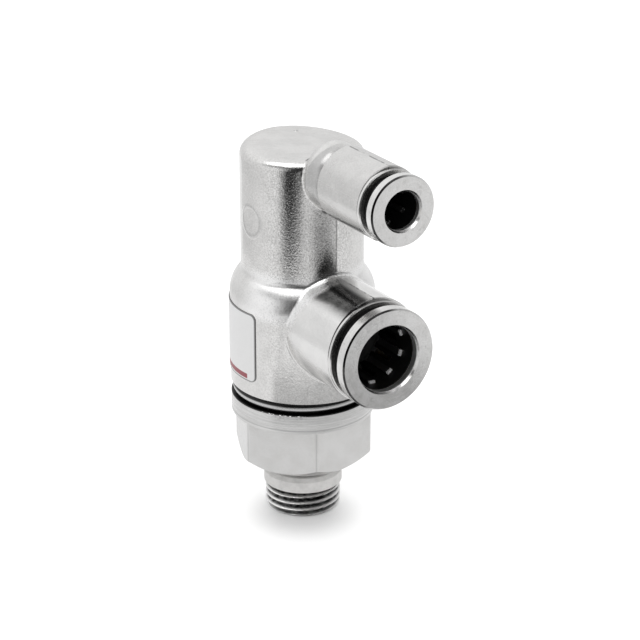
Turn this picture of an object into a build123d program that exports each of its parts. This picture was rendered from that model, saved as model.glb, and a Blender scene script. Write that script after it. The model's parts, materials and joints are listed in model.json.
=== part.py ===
from build123d import *
from math import cos, pi, radians, sin
import os

# Pilot-operated shut-off valve for compressed air, in millimetres.
# The valve axis is Z and the male thread ends at Z = 0. Both tube ports face +X.
# The forging's two halves meet at the XZ plane: each round form is struck about an axis
# a little past that plane, so that its walls have draft and meet in a slight ridge.

# Clearances
press_gap = 0.02          # radial gap left between pressed or seated pieces
slide_gap = 0.05          # radial gap of a running fit
face_gap = 0.03           # axial gap between pieces that stack or touch
cut_margin = 1.0          # how far a cut runs past what it cuts

# Threaded stem
thread_diameter = 9.728
thread_length = 3.6
thread_end_chamfer = 0.45
air_bore_diameter = 5.8
neck_diameter = 8.4
neck_length = 3.8
hex_across_flats = 16.0
hex_height = 6.5
hex_face_diameter = 15.2
hex_chamfer_height = 1.2
hex_turn = -20.5          # bearing of one of its corners from +X
flange_inset = 0.4        # how far the flange stands in from the skirt
flange_thickness = 2.1
flange_back_taper = 0.4
flange_edge_chamfer = 0.1
swivel_gap = 1.7
swivel_neck_diameter = 14.6
spigot_diameter = 13.0
check_bore_diameter = 8.4
check_bore_floor = 0.8    # height of the check bore's floor above the hexagon's underside

# Seal ring under the hexagon
seal_ring_diameter = 10.14
seal_ring_height = 1.9
seal_ring_crown = 0.45

# Rings between stem and body
swivel_ring_section = 1.64
swivel_ring_inset = 0.6   # how far the O-ring stands in from the skirt
stem_seal_width = 1.6
stem_seal_depth = 1.2
stem_seal_rise = 1.9      # middle of the seal above the body's lower edge
retainer_section = 0.9
retainer_split_angle = 24.0
retainer_drop = 1.2       # middle of the ring below the spigot's end

# Forged body
draft_shift = 0.4         # how far past the parting plane each half's round forms are centred
body_diameter = 19.0
skirt_height = 11.7
shoulder_height = 3.3
tower_diameter = 16.1
tower_height = 16.1
tower_crown_radius = 60.0
tower_edge_radius = 1.2
body_entry_chamfer = 0.35
foot_blend_radius = 1.0
main_blend_radius = 0.5

# Bores and passages in the body
main_port_rise = 9.4      # main port axis above the body's lower edge
pilot_port_drop = 2.2     # pilot port axis below the tower's top
main_passage_diameter = 6.4
pilot_passage_diameter = 2.0
chamber_margin = 0.5
rod_guide_thickness = 2.4
piston_bore_diameter = 11.2
roof_thickness = 2.0

# Check valve
seat_thickness = 2.6
seat_rim_width = 1.0
orifice_diameter = 5.2
seat_bead_height = 0.3
seat_bead_width = 0.5
seat_bead_diameter = 6.1
poppet_diameter = 7.4
poppet_height = 2.6
poppet_crown_diameter = 3.2
poppet_crown_height = 0.75
poppet_pin_diameter = 2.5
poppet_wing_width = 1.2
poppet_wing_count = 4
poppet_seal_width = 1.1
poppet_seal_depth = 1.1
poppet_seal_stand = 0.25
spring_guide_thickness = 1.4
spring_guide_rim = 0.7
spring_guide_hub_diameter = 4.0
spring_guide_arm_width = 1.1
spring_guide_arms = 3
poppet_spring_diameter = 4.8
poppet_spring_wire = 0.5
poppet_spring_turns = 4.5

# Pilot piston
piston_height = 3.0
piston_boss_diameter = 3.0
piston_boss_height = 0.65
piston_seal_width = 1.2
piston_seal_depth = 1.25
rod_diameter = 3.0
rod_seal_width = 1.1
rod_seal_depth = 1.1
guide_seal_width = 1.1
guide_seal_depth = 0.9
piston_spring_diameter = 6.8
piston_spring_wire = 0.7
piston_spring_turns = 4.5

# Tube ports
main_barrel_diameter = 13.6
main_barrel_reach = 16.4
main_port_wall = 0.7      # between the spigot's side and the floor of the main port
main_ring_diameter = 12.8
main_ring_thickness = 1.55
main_bore_diameter = 8.4
main_tube_diameter = 8.0
main_tooth_count = 10
main_tooth_width = 0.8
pilot_barrel_diameter = 9.4
pilot_barrel_reach = 19.3
pilot_cartridge_depth = 7.9
pilot_ring_diameter = 8.7
pilot_ring_thickness = 1.25
pilot_bore_diameter = 4.8
pilot_tube_diameter = 4.0
pilot_tooth_count = 6
pilot_tooth_width = 0.6
pilot_boss_diameter = 8.9
pilot_boss_start = 5.9
pilot_boss_reach = 10.3
pilot_boss_edge = 1.6
pilot_neck_depth = 0.35   # how far the boss narrows towards the barrel
pilot_barrel_edge = 0.3   # rounding of the barrel's inner end
pilot_blend_radius = 0.5
release_gap = 1.35        # free space behind each release ring
release_travel = 1.1
release_margin = 0.15     # room left between collet and spacer when the ring is pushed in
ring_front_chamfer = 0.3
ring_back_chamfer = 0.12
ring_lead_width = 0.2     # cone that leads the tube into the ring
ring_lead_depth = 0.35
ring_recess_depth = 0.35
barrel_end_chamfer = 0.12
lip_thickness = 0.5
lip_overhang = 0.3        # how far the sleeve's lip reaches out over the barrel's end
lip_chamfer = 0.12
head_depth = 1.4
head_wall = 0.3
head_floor = 0.35
collet_relief = 0.2       # how much wider the collet is bored than its ring
collet_wall = 0.45
collet_bead_height = 0.2
collet_bead_length = 1.6
collet_slot_width = 0.6
collet_slot_margin = 0.6  # solid collar left between the slots and the mouth
sleeve_wall = 0.35
tube_seal_length = 1.6
tube_seal_bite = 0.15
tube_seal_taper = 0.5
spacer_thickness = 0.8
spacer_clearance = 0.15
tooth_clearance = 0.12    # between a tooth strip and the tube's surface
tooth_sink = 0.2          # how far it is let into the collet
tooth_bite = 0.1          # how far its tip reaches inside the tube's surface
tooth_tip_length = 0.6
tooth_start_margin = 0.9  # from the collet's inner end to the strip
tooth_end_margin = 0.6    # from the strip's outer end to the sleeve's lip

# Label
label_width = 14.0
label_height = 9.1
label_rise = 1.9
label_thickness = 0.1
label_corner_radius = 0.8
label_angle = -113.7      # bearing of its middle from +X about Z

# Levels along the valve axis
neck_z = thread_length
hex_z = neck_z + neck_length
flange_z = hex_z + hex_height
flange_top_z = flange_z + flange_back_taper + flange_thickness
body_z = flange_top_z + swivel_gap
shoulder_z = body_z + skirt_height
tower_z = shoulder_z + shoulder_height
top_z = tower_z + tower_height
main_axis_z = body_z + main_port_rise
pilot_axis_z = top_z - pilot_port_drop
spigot_top_z = main_axis_z - main_passage_diameter / 2 - chamber_margin
rod_guide_z = main_axis_z + main_passage_diameter / 2 + chamber_margin
rod_guide_top_z = rod_guide_z + rod_guide_thickness
roof_z = top_z - roof_thickness
seat_z = spigot_top_z - seat_thickness
check_floor_z = hex_z + check_bore_floor
poppet_top_z = seat_z - seat_bead_height - face_gap - poppet_seal_stand
poppet_bottom_z = poppet_top_z - poppet_height
piston_top_z = roof_z - piston_boss_height - face_gap
piston_bottom_z = piston_top_z - piston_height
rod_tip_z = poppet_top_z + poppet_crown_height + face_gap

# Radii shared by neighbouring pieces
spigot_radius = spigot_diameter / 2
swivel_bore_radius = spigot_radius + slide_gap
check_bore_radius = check_bore_diameter / 2
seat_radius = check_bore_radius + seat_rim_width
piston_bore_radius = piston_bore_diameter / 2
tower_radius = tower_diameter / 2
body_radius = body_diameter / 2
rod_radius = rod_diameter / 2
retainer_z = spigot_top_z - retainer_drop
stem_seal_z = body_z + stem_seal_rise
main_cartridge_depth = main_barrel_reach - spigot_radius - main_port_wall

os.makedirs("parts", exist_ok=True)


def save(piece, name):
    piece.part.label = name
    export_step(piece.part, f"parts/{name}.step")


def turned(points, axis=Axis.Z, plane=Plane.XZ, arc=360.0):
    # a piece turned from an outline of (radius, height) points, or (reach, radius) on a port
    with BuildPart() as piece:
        with BuildSketch(plane):
            with BuildLine():
                Polyline(*points, close=True)
            make_face()
        revolve(axis=axis, revolution_arc=arc)
    return piece


def ring_outline(inner, outer, low, high):
    return [(inner, low), (outer, low), (outer, high), (inner, high)]


# Threaded stem: thread, hexagon, flange and the spigot that the body turns on
thread_radius = thread_diameter / 2
neck_radius = neck_diameter / 2
flange_radius = body_radius - flange_inset
stem_seal_floor = spigot_radius - stem_seal_depth
retainer_floor = spigot_radius - retainer_section / 2

with BuildPart() as threaded_stem:
    with BuildSketch(Plane.XZ):
        with BuildLine():
            Polyline(
                (0, 0),
                (thread_radius - thread_end_chamfer, 0),
                (thread_radius, thread_end_chamfer),
                (thread_radius, neck_z),
                (neck_radius, neck_z),
                (neck_radius, hex_z),
                (hex_face_diameter / 2, hex_z),
                (flange_radius, hex_z + hex_chamfer_height),
                (flange_radius, flange_top_z - flange_edge_chamfer),
                (flange_radius - flange_edge_chamfer, flange_top_z),
                (swivel_neck_diameter / 2, flange_top_z),
                (swivel_neck_diameter / 2, body_z - face_gap),
                (spigot_radius, body_z - face_gap),
                (spigot_radius, spigot_top_z),
                (0, spigot_top_z),
                close=True,
            )
        make_face()
    revolve(axis=Axis.Z)
    with BuildSketch(Plane.XY.offset(hex_z)):
        Circle(flange_radius + cut_margin)
        RegularPolygon(hex_across_flats / 2, 6, major_radius=False, rotation=hex_turn, mode=Mode.SUBTRACT)
    extrude(amount=hex_height + flange_back_taper, mode=Mode.SUBTRACT)
    with BuildSketch(Plane.XZ):
        with BuildLine():
            Polyline(
                (neck_radius, flange_z + flange_back_taper),
                (hex_across_flats / 2, flange_z + flange_back_taper),
                (flange_radius, flange_z),
                (flange_radius, flange_z + flange_back_taper + flange_edge_chamfer),
                (neck_radius, flange_z + flange_back_taper + flange_edge_chamfer),
                close=True,
            )
        make_face()
    revolve(axis=Axis.Z)
    with BuildSketch(Plane.XZ):
        with BuildLine():
            Polyline(
                (0, 0),
                (air_bore_diameter / 2, 0),
                (air_bore_diameter / 2, check_floor_z),
                (check_bore_radius, check_floor_z),
                (check_bore_radius, seat_z),
                (seat_radius, seat_z),
                (seat_radius, spigot_top_z),
                (0, spigot_top_z),
                close=True,
            )
        make_face()
    revolve(axis=Axis.Z, mode=Mode.SUBTRACT)
    with BuildSketch(Plane.XZ):
        for floor, middle, width in (
            (stem_seal_floor, stem_seal_z, stem_seal_width + 2 * face_gap),
            (retainer_floor, retainer_z, retainer_section + 2 * face_gap),
        ):
            with BuildLine():
                Polyline(
                    (floor, middle - width / 2),
                    (spigot_radius + cut_margin, middle - width / 2),
                    (spigot_radius + cut_margin, middle + width / 2),
                    (floor, middle + width / 2),
                    close=True,
                )
            make_face()
    revolve(axis=Axis.Z, mode=Mode.SUBTRACT)
save(threaded_stem, "threaded_stem")

# Seal ring in the undercut below the hexagon
seal_ring_radius = seal_ring_diameter / 2
thread_seal_ring = turned([
    (neck_radius + press_gap, neck_z + face_gap),
    (seal_ring_radius, neck_z + face_gap),
    (seal_ring_radius, neck_z + seal_ring_height - seal_ring_crown),
    (seal_ring_radius - seal_ring_crown, neck_z + seal_ring_height),
    (neck_radius + press_gap, neck_z + seal_ring_height),
])
save(thread_seal_ring, "thread_seal_ring")

# Squeezed O-ring in the gap between flange and body: flat where it bears, round outside
ring_half = swivel_ring_section / 2
ring_middle_z = flange_top_z + swivel_gap / 2
ring_flat_radius = body_radius - swivel_ring_inset - ring_half
with BuildPart() as swivel_o_ring:
    with BuildSketch(Plane.XZ):
        with BuildLine():
            Polyline(
                (ring_flat_radius, ring_middle_z + ring_half),
                (swivel_neck_diameter / 2 + press_gap, ring_middle_z + ring_half),
                (swivel_neck_diameter / 2 + press_gap, ring_middle_z - ring_half),
                (ring_flat_radius, ring_middle_z - ring_half),
            )
            ThreePointArc(
                (ring_flat_radius, ring_middle_z - ring_half),
                (ring_flat_radius + ring_half, ring_middle_z),
                (ring_flat_radius, ring_middle_z + ring_half),
            )
        make_face()
    revolve(axis=Axis.Z)
save(swivel_o_ring, "swivel_o_ring")

# Seal between spigot and body, and the split wire ring that keeps the body on
stem_seal = turned(ring_outline(
    stem_seal_floor + press_gap, swivel_bore_radius - press_gap,
    stem_seal_z - stem_seal_width / 2, stem_seal_z + stem_seal_width / 2,
))
save(stem_seal, "stem_seal")

retainer_outer = swivel_bore_radius + retainer_section / 2 - press_gap
swivel_retaining_ring = turned(
    ring_outline(
        retainer_floor + press_gap, retainer_outer,
        retainer_z - retainer_section / 2, retainer_z + retainer_section / 2,
    ),
    arc=360 - retainer_split_angle,
)
save(swivel_retaining_ring, "swivel_retaining_ring")

# Valve seat pressed into the spigot, with a raised bead under it
orifice_radius = orifice_diameter / 2
bead_inner = seat_bead_diameter / 2 - seat_bead_width / 2
bead_outer = seat_bead_diameter / 2 + seat_bead_width / 2
valve_seat = turned([
    (orifice_radius, seat_z),
    (bead_inner, seat_z),
    (bead_inner, seat_z - seat_bead_height),
    (bead_outer, seat_z - seat_bead_height),
    (bead_outer, seat_z + press_gap),
    (seat_radius - press_gap, seat_z + press_gap),
    (seat_radius - press_gap, spigot_top_z),
    (orifice_radius, spigot_top_z),
])
save(valve_seat, "valve_seat")

# Check poppet: head with guide wings, a groove for its seal, a crown and a guide pin
wing_reach = check_bore_radius - slide_gap
seal_groove_inner = seat_bead_diameter / 2 - poppet_seal_width / 2
seal_groove_outer = seat_bead_diameter / 2 + poppet_seal_width / 2
with BuildPart() as check_poppet:
    with BuildSketch(Plane.XZ):
        with BuildLine():
            Polyline(
                (0, check_floor_z),
                (poppet_pin_diameter / 2, check_floor_z),
                (poppet_pin_diameter / 2, poppet_bottom_z),
                (poppet_diameter / 2, poppet_bottom_z),
                (poppet_diameter / 2, poppet_top_z),
                (seal_groove_outer, poppet_top_z),
                (seal_groove_outer, poppet_top_z - poppet_seal_depth),
                (seal_groove_inner, poppet_top_z - poppet_seal_depth),
                (seal_groove_inner, poppet_top_z),
                (poppet_crown_diameter / 2, poppet_top_z),
                (poppet_crown_diameter / 2, poppet_top_z + poppet_crown_height),
                (0, poppet_top_z + poppet_crown_height),
                close=True,
            )
        make_face()
    revolve(axis=Axis.Z)
    with BuildSketch(Plane.XY.offset(poppet_bottom_z)):
        with PolarLocations((poppet_diameter / 2 + wing_reach) / 2, poppet_wing_count):
            Rectangle(wing_reach - poppet_diameter / 2 + 2 * slide_gap, poppet_wing_width)
        Circle(wing_reach, mode=Mode.INTERSECT)
    extrude(amount=poppet_height - poppet_seal_stand)
save(check_poppet, "check_poppet")

poppet_seal = turned(ring_outline(
    seal_groove_inner + press_gap, seal_groove_outer - press_gap,
    poppet_top_z - poppet_seal_depth + press_gap, poppet_top_z + poppet_seal_stand,
))
save(poppet_seal, "poppet_seal")

# Spider that guides the poppet's pin and carries its spring
guide_outer = check_bore_radius - press_gap
guide_rim_inner = guide_outer - spring_guide_rim
hub_radius = spring_guide_hub_diameter / 2
with BuildPart() as spring_guide:
    with BuildSketch(Plane.XY.offset(check_floor_z)):
        Circle(guide_outer)
        Circle(guide_rim_inner, mode=Mode.SUBTRACT)
        Circle(hub_radius)
        with PolarLocations((hub_radius + guide_rim_inner) / 2, spring_guide_arms):
            Rectangle(guide_rim_inner - hub_radius + spring_guide_rim, spring_guide_arm_width)
        Circle(poppet_pin_diameter / 2 + slide_gap, mode=Mode.SUBTRACT)
    extrude(amount=spring_guide_thickness)
save(spring_guide, "spring_guide")


def coil_spring(mean_diameter, wire, turns, low, high):
    # square-wire coil whose end turns stop a face gap short of their seats
    rise = high - low - wire - 2 * face_gap
    with BuildPart() as piece:
        with BuildLine():
            coil = Helix(rise / turns, rise, mean_diameter / 2, center=(0, 0, low + face_gap + wire / 2))
        with BuildSketch(Plane(origin=coil @ 0, x_dir=(1, 0, 0), z_dir=coil % 0)):
            Rectangle(wire, wire)
        sweep(is_frenet=True)
    return piece


save(coil_spring(poppet_spring_diameter, poppet_spring_wire, poppet_spring_turns,
                 check_floor_z + spring_guide_thickness, poppet_bottom_z), "poppet_spring")
save(coil_spring(piston_spring_diameter, piston_spring_wire, piston_spring_turns,
                 rod_guide_top_z, piston_bottom_z), "piston_spring")

# Guide pressed into the tower's foot, with grooves for the seals on the rod and the wall
guide_seal_floor = swivel_bore_radius - guide_seal_depth
guide_middle_z = (rod_guide_z + rod_guide_top_z) / 2
rod_hole_radius = rod_radius + slide_gap
rod_seal_outer = rod_hole_radius + rod_seal_depth
rod_guide = turned([
    (rod_hole_radius, rod_guide_z),
    (swivel_bore_radius - press_gap, rod_guide_z),
    (swivel_bore_radius - press_gap, guide_middle_z - guide_seal_width / 2 - face_gap),
    (guide_seal_floor, guide_middle_z - guide_seal_width / 2 - face_gap),
    (guide_seal_floor, guide_middle_z + guide_seal_width / 2 + face_gap),
    (swivel_bore_radius - press_gap, guide_middle_z + guide_seal_width / 2 + face_gap),
    (swivel_bore_radius - press_gap, rod_guide_top_z),
    (rod_hole_radius, rod_guide_top_z),
    (rod_hole_radius, guide_middle_z + rod_seal_width / 2 + face_gap),
    (rod_seal_outer, guide_middle_z + rod_seal_width / 2 + face_gap),
    (rod_seal_outer, guide_middle_z - rod_seal_width / 2 - face_gap),
    (rod_hole_radius, guide_middle_z - rod_seal_width / 2 - face_gap),
])
save(rod_guide, "rod_guide")

rod_seal = turned(ring_outline(
    rod_radius + press_gap, rod_seal_outer - press_gap,
    guide_middle_z - rod_seal_width / 2, guide_middle_z + rod_seal_width / 2,
))
save(rod_seal, "rod_seal")

guide_seal = turned(ring_outline(
    guide_seal_floor + press_gap, swivel_bore_radius - press_gap,
    guide_middle_z - guide_seal_width / 2, guide_middle_z + guide_seal_width / 2,
))
save(guide_seal, "guide_seal")

# Pilot piston with its rod, which pushes the poppet open, and the piston's seal
piston_radius = piston_bore_radius - slide_gap
piston_middle_z = (piston_top_z + piston_bottom_z) / 2
piston_seal_floor = piston_radius - piston_seal_depth
pilot_piston = turned([
    (0, rod_tip_z),
    (rod_radius, rod_tip_z),
    (rod_radius, piston_bottom_z),
    (piston_radius, piston_bottom_z),
    (piston_radius, piston_middle_z - piston_seal_width / 2 - face_gap),
    (piston_seal_floor, piston_middle_z - piston_seal_width / 2 - face_gap),
    (piston_seal_floor, piston_middle_z + piston_seal_width / 2 + face_gap),
    (piston_radius, piston_middle_z + piston_seal_width / 2 + face_gap),
    (piston_radius, piston_top_z),
    (piston_boss_diameter / 2, piston_top_z),
    (piston_boss_diameter / 2, piston_top_z + piston_boss_height),
    (0, piston_top_z + piston_boss_height),
])
save(pilot_piston, "pilot_piston")

piston_seal = turned(ring_outline(
    piston_seal_floor + press_gap, piston_bore_radius - press_gap,
    piston_middle_z - piston_seal_width / 2, piston_middle_z + piston_seal_width / 2,
))
save(piston_seal, "piston_seal")


def sleeve_radius(bore_diameter):
    # outside of a cartridge sleeve, built up from the bore that the tube enters
    finger = bore_diameter / 2 + collet_relief + collet_wall
    return finger + slide_gap + collet_bead_height + sleeve_wall


def port_section(axis_z):
    # plane through a tube port's axis: reach along +X, radius upwards
    return Plane(origin=(0, 0, axis_z), x_dir=(1, 0, 0), z_dir=(0, -1, 0))


def port_end(axis_z, reach):
    # plane across a tube port, facing out of its mouth
    return Plane(origin=(reach, 0, axis_z), x_dir=(0, 1, 0), z_dir=(1, 0, 0))


def port_axis(axis_z):
    return Axis((0, 0, axis_z), (1, 0, 0))


def new_joint_edges(piece, reach_limit):
    # the edges that the last form made where it meets the rest of the half forging
    joint = piece.edges(Select.NEW).filter_by(lambda edge: edge.center().X < reach_limit)
    off_plane = joint.filter_by(lambda edge: edge.center().Y < -slide_gap)
    return off_plane.filter_by(lambda edge: edge.geom_type != GeomType.LINE)


# The front half of each form is centred on this plane, behind the parting plane
half_plane = Plane(origin=(0, draft_shift, 0), x_dir=(1, 0, 0), z_dir=(0, -1, 0))

# Front half of the pilot barrel, with the boss that it grows from
pilot_barrel_radius = pilot_barrel_diameter / 2
pilot_boss_radius = pilot_boss_diameter / 2
with BuildPart() as pilot_half:
    with BuildSketch(half_plane):
        with BuildLine():
            Polyline(
                (pilot_boss_start + pilot_boss_edge, pilot_axis_z + pilot_boss_radius),
                (pilot_boss_reach, pilot_axis_z + pilot_boss_radius - pilot_neck_depth),
                (pilot_boss_reach, pilot_axis_z + pilot_barrel_radius - pilot_barrel_edge),
            )
            RadiusArc(
                (pilot_boss_reach, pilot_axis_z + pilot_barrel_radius - pilot_barrel_edge),
                (pilot_boss_reach + pilot_barrel_edge, pilot_axis_z + pilot_barrel_radius),
                pilot_barrel_edge,
            )
            Polyline(
                (pilot_boss_reach + pilot_barrel_edge, pilot_axis_z + pilot_barrel_radius),
                (pilot_barrel_reach, pilot_axis_z + pilot_barrel_radius),
                (pilot_barrel_reach, pilot_axis_z),
                (pilot_boss_start, pilot_axis_z),
                (pilot_boss_start, pilot_axis_z + pilot_boss_radius - pilot_boss_edge),
            )
            RadiusArc(
                (pilot_boss_start, pilot_axis_z + pilot_boss_radius - pilot_boss_edge),
                (pilot_boss_start + pilot_boss_edge, pilot_axis_z + pilot_boss_radius),
                pilot_boss_edge,
            )
        make_face()
    revolve(axis=Axis((0, draft_shift, pilot_axis_z), (1, 0, 0)))
    split(bisect_by=Plane.XZ, keep=Keep.TOP)

# Forged body: front half of skirt, shoulder, tower and main barrel, mirrored, then bored
main_barrel_radius = main_barrel_diameter / 2
main_passage_radius = main_passage_diameter / 2
pilot_passage_radius = pilot_passage_diameter / 2
pilot_passage_start = piston_bore_radius - pilot_passage_radius
retainer_groove_half = retainer_section / 2 + face_gap
stock_top_z = top_z + tower_edge_radius
with BuildPart() as valve_body:
    with BuildSketch(half_plane):
        with BuildLine():
            Polyline((0, body_z), (body_radius, body_z), (body_radius, shoulder_z))
            TangentArc((body_radius, shoulder_z), (tower_radius, tower_z), tangent=(0, 1))
            Polyline((tower_radius, tower_z), (tower_radius, stock_top_z), (0, stock_top_z), (0, body_z))
        make_face()
    revolve(axis=Axis((0, draft_shift, 0), (0, 0, 1)))
    split(bisect_by=Plane.XZ, keep=Keep.TOP)
    with BuildSketch(Plane.YZ):
        with Locations((0, top_z - tower_crown_radius)):
            Circle(tower_crown_radius)
    extrude(amount=body_diameter, both=True, mode=Mode.INTERSECT)
    rim = valve_body.edges().filter_by_position(Axis.Z, top_z - cut_margin, top_z + cut_margin)
    fillet(rim.filter_by(lambda edge: edge.center().Y < -slide_gap), tower_edge_radius)
    foot = valve_body.edges().filter_by(GeomType.CIRCLE)
    fillet(foot.filter_by_position(Axis.Z, tower_z - face_gap, tower_z + face_gap), foot_blend_radius)
    with BuildSketch(port_end(main_axis_z, 0)):
        with Locations((draft_shift, 0)):
            Circle(main_barrel_radius)
        Rectangle(
            main_barrel_diameter, main_barrel_diameter,
            align=(Align.MAX, Align.CENTER), mode=Mode.INTERSECT,
        )
    extrude(amount=main_barrel_reach)
    fillet(new_joint_edges(valve_body, main_barrel_reach - main_blend_radius), main_blend_radius)
    add(pilot_half.part)
    fillet(new_joint_edges(valve_body, pilot_boss_reach - pilot_blend_radius), pilot_blend_radius)
    for reach in (main_barrel_reach, pilot_barrel_reach):
        end = valve_body.edges().filter_by(GeomType.CIRCLE)
        chamfer(end.filter_by_position(Axis.X, reach - face_gap, reach + face_gap), barrel_end_chamfer)
    mirror(about=Plane.XZ)
    with BuildSketch(Plane.XZ):
        with BuildLine():
            Polyline(
                (0, body_z),
                (swivel_bore_radius + body_entry_chamfer, body_z),
                (swivel_bore_radius, body_z + body_entry_chamfer),
                (swivel_bore_radius, retainer_z - retainer_groove_half),
                (retainer_outer + slide_gap, retainer_z - retainer_groove_half),
                (retainer_outer + slide_gap, retainer_z + retainer_groove_half),
                (swivel_bore_radius, retainer_z + retainer_groove_half),
                (swivel_bore_radius, rod_guide_top_z),
                (piston_bore_radius, rod_guide_top_z),
                (piston_bore_radius, roof_z),
                (0, roof_z),
                close=True,
            )
        make_face()
    revolve(axis=Axis.Z, mode=Mode.SUBTRACT)
    for axis_z, reach, depth, passage_start, passage_radius, bore_diameter, ring_diameter in (
        (main_axis_z, main_barrel_reach, main_cartridge_depth,
         0, main_passage_radius, main_bore_diameter, main_ring_diameter),
        (pilot_axis_z, pilot_barrel_reach, pilot_cartridge_depth,
         pilot_passage_start, pilot_passage_radius, pilot_bore_diameter, pilot_ring_diameter),
    ):
        counterbore = sleeve_radius(bore_diameter) + press_gap
        head_bore = ring_diameter / 2 - lip_overhang
        with BuildSketch(port_section(axis_z)):
            with BuildLine():
                Polyline(
                    (passage_start, 0),
                    (passage_start, passage_radius),
                    (reach - depth, passage_radius),
                    (reach - depth, counterbore),
                    (reach - head_depth, counterbore),
                    (reach - head_depth, head_bore),
                    (reach, head_bore),
                    (reach, 0),
                    close=True,
                )
            make_face()
        revolve(axis=port_axis(axis_z), mode=Mode.SUBTRACT)
save(valve_body, "valve_body")


def tube_port(name, axis_z, reach, depth, ring_radius, ring_thickness,
              bore_radius, tube_radius, tooth_count, tooth_width):
    # push-in cartridge: seal, spacer, sleeve, collet with its teeth, and release ring
    section = port_section(axis_z)
    axis = port_axis(axis_z)
    shell = sleeve_radius(2 * bore_radius)
    floor = reach - depth
    spacer_start = floor + tube_seal_length + 2 * face_gap
    sleeve_start = spacer_start + spacer_thickness + face_gap
    lip_end = reach + lip_thickness
    ring_back = lip_end + release_gap
    ring_face = ring_back + ring_thickness
    head = ring_radius - lip_overhang - press_gap
    mouth = head - head_wall
    mouth_floor = reach - head_depth + head_floor
    collet_bore = bore_radius + collet_relief
    finger = collet_bore + collet_wall
    throat = finger + slide_gap
    bead = finger + collet_bead_height
    collet_start = sleeve_start + release_travel + release_margin
    bead_end = collet_start + collet_bead_length
    neck = mouth - slide_gap
    neck_start = lip_end + face_gap
    recess_end = ring_back + ring_recess_depth

    tube_seal = turned([
        (floor + face_gap, tube_radius - tube_seal_bite),
        (floor + face_gap, shell),
        (spacer_start - face_gap, shell),
        (spacer_start - face_gap, tube_radius - tube_seal_bite + tube_seal_taper),
        (spacer_start - face_gap - tube_seal_taper, tube_radius - tube_seal_bite),
    ], axis, section)
    save(tube_seal, f"{name}_tube_seal")

    seal_spacer = turned([
        (spacer_start, tube_radius + spacer_clearance),
        (spacer_start, shell),
        (spacer_start + spacer_thickness, shell),
        (spacer_start + spacer_thickness, tube_radius + spacer_clearance),
    ], axis, section)
    save(seal_spacer, f"{name}_seal_spacer")

    cartridge_sleeve = turned([
        (sleeve_start, shell - sleeve_wall),
        (sleeve_start, shell),
        (reach - head_depth + press_gap, shell),
        (reach - head_depth + press_gap, head),
        (reach + press_gap, head),
        (reach + press_gap, ring_radius),
        (lip_end - lip_chamfer, ring_radius),
        (lip_end, ring_radius - lip_chamfer),
        (lip_end, mouth),
        (mouth_floor, mouth),
        (mouth_floor, throat),
        (bead_end + face_gap + collet_bead_height, throat),
        (bead_end + face_gap, shell - sleeve_wall),
    ], axis, section)
    save(cartridge_sleeve, f"{name}_cartridge_sleeve")

    with BuildPart() as collet:
        with BuildSketch(section):
            with BuildLine():
                Polyline(
                    (collet_start, collet_bore),
                    (collet_start, bead),
                    (bead_end - collet_bead_height, bead),
                    (bead_end, finger),
                    (neck_start, finger),
                    (neck_start, neck),
                    (ring_back - face_gap, neck),
                    (ring_back - face_gap, finger),
                    (recess_end - face_gap, finger),
                    (recess_end - face_gap, collet_bore),
                    close=True,
                )
            make_face()
        revolve(axis=axis)
        half_pitch = 180 / tooth_count
        with BuildSketch(port_end(axis_z, collet_start)):
            with PolarLocations((collet_bore + bead) / 2, tooth_count, start_angle=90 + half_pitch):
                Rectangle(bead, collet_slot_width)
        extrude(amount=mouth_floor - collet_slot_margin - collet_start, mode=Mode.SUBTRACT)
        with BuildSketch(port_end(axis_z, collet_start)):
            with PolarLocations(collet_bore, tooth_count, start_angle=90):
                Rectangle(2 * (tooth_sink + press_gap), tooth_width + 2 * press_gap)
        extrude(amount=lip_end - tooth_end_margin + face_gap - collet_start, mode=Mode.SUBTRACT)
    save(collet, f"{name}_collet")

    tip = collet_start + tooth_start_margin
    spokes = [section.rotated((turn * 360 / tooth_count, 0, 0)) for turn in range(tooth_count)]
    with BuildPart() as collet_teeth:
        with BuildSketch(*spokes):
            with BuildLine():
                Polyline(
                    (tip, tube_radius - tooth_bite),
                    (tip, collet_bore + tooth_sink),
                    (lip_end - tooth_end_margin, collet_bore + tooth_sink),
                    (lip_end - tooth_end_margin, tube_radius + tooth_clearance),
                    (tip + tooth_tip_length, tube_radius + tooth_clearance),
                    close=True,
                )
            make_face()
        extrude(amount=tooth_width / 2, both=True)
    save(collet_teeth, f"{name}_collet_teeth")

    release_ring = turned([
        (ring_back, finger + press_gap),
        (ring_back, ring_radius - ring_back_chamfer),
        (ring_back + ring_back_chamfer, ring_radius),
        (ring_face - ring_front_chamfer, ring_radius),
        (ring_face, ring_radius - ring_front_chamfer),
        (ring_face, bore_radius + ring_lead_width),
        (ring_face - ring_lead_depth, bore_radius),
        (recess_end, bore_radius),
        (recess_end, finger + press_gap),
    ], axis, section)
    save(release_ring, f"{name}_release_ring")


tube_port("main", main_axis_z, main_barrel_reach, main_cartridge_depth,
          main_ring_diameter / 2, main_ring_thickness, main_bore_diameter / 2,
          main_tube_diameter / 2, main_tooth_count, main_tooth_width)
tube_port("pilot", pilot_axis_z, pilot_barrel_reach, pilot_cartridge_depth,
          pilot_ring_diameter / 2, pilot_ring_thickness, pilot_bore_diameter / 2,
          pilot_tube_diameter / 2, pilot_tooth_count, pilot_tooth_width)

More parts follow.
